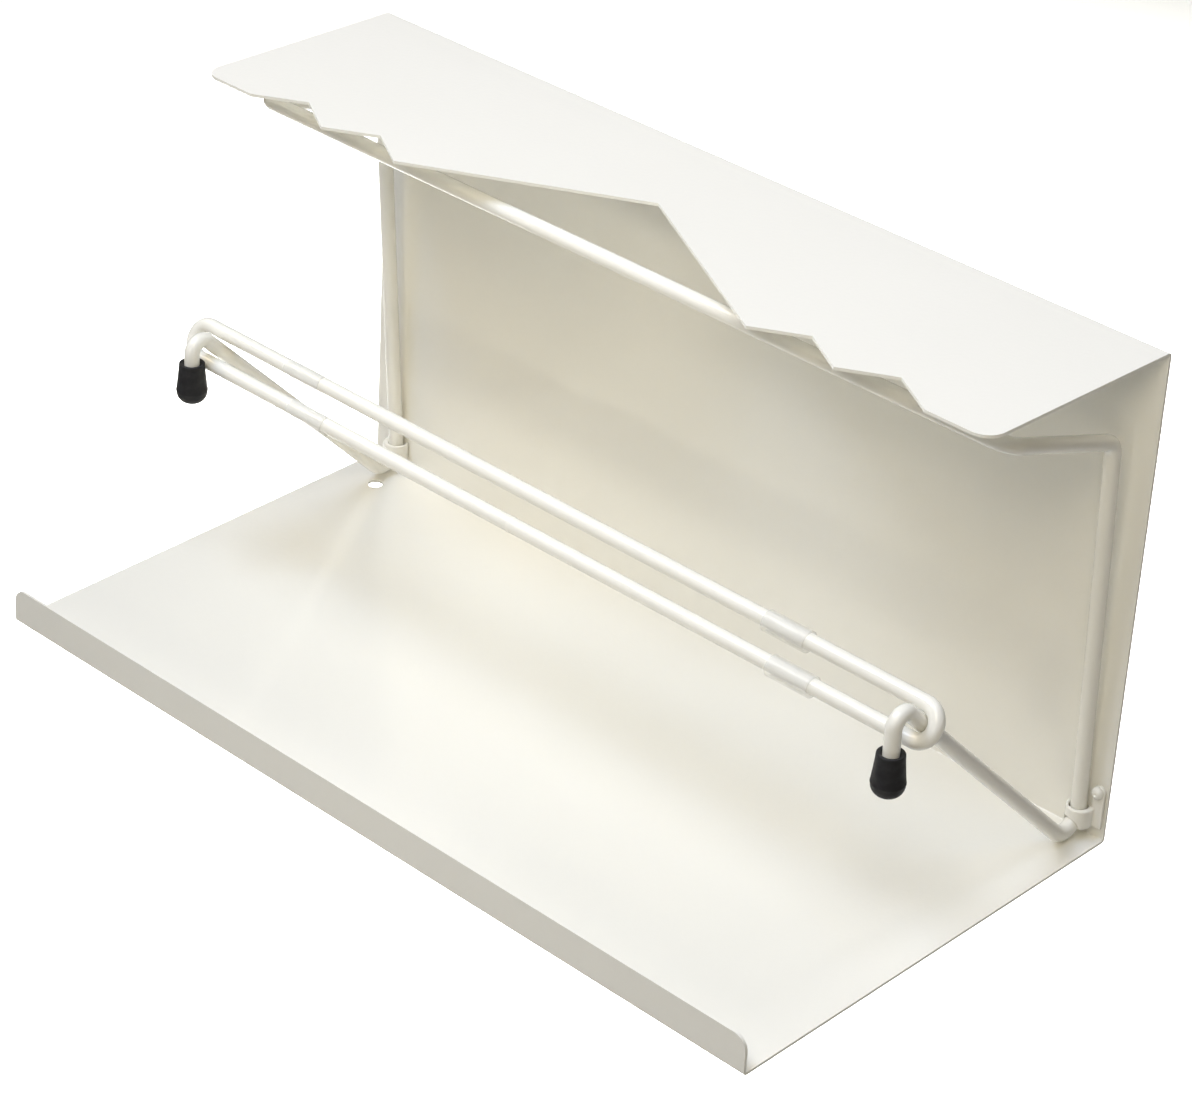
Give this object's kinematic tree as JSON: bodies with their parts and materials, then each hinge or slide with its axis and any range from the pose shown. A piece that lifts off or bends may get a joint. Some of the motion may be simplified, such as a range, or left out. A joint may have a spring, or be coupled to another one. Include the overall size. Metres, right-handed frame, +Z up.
{
  "type": "wall mounted fold down drying rack",
  "caption": "Folded sheet shelf with a toothed hood and a wire frame that tips forward, carrying a sliding wire link and rubber tipped hooks.",
  "frame": {"origin": "middle of the housing's flat wall face", "axes": "+X to the right along the rack, +Y into the wall, +Z up"},
  "size_m": [0.5, 0.249, 0.2665],
  "materials": {
    "powder_coat": "gloss white powder coat",
    "rubber": "matte black",
    "clear_plastic": "clear tube",
    "rivet_steel": "white painted rivet"
  },
  "bodies": {
    "housing": {"sheet_housing": "powder_coat", "saddle_clip_left": "powder_coat", "saddle_clip_right": "powder_coat", "clip_rivet_left": "rivet_steel", "clip_rivet_right": "rivet_steel"},
    "rack": {"wire_frame": "powder_coat", "rubber_cap_left": "rubber", "rubber_cap_right": "rubber"},
    "link": {"ring_link": "powder_coat", "clear_sleeve_lower_left": "clear_plastic", "clear_sleeve_lower_right": "clear_plastic", "clear_sleeve_upper_left": "clear_plastic", "clear_sleeve_upper_right": "clear_plastic"}
  },
  "joints": [
    {"name": "frame_fold", "type": "hinge", "parent": "housing", "child": "rack", "pos_m": [0, -0.01579, -0.11221], "axis": [1, 0, 0], "range_deg": [-2.5, 34]},
    {"name": "link_slide", "type": "slide", "parent": "rack", "child": "link", "axis": [0, 0.7206, -0.6934], "range_m": [0, 0.112]}
  ]
}
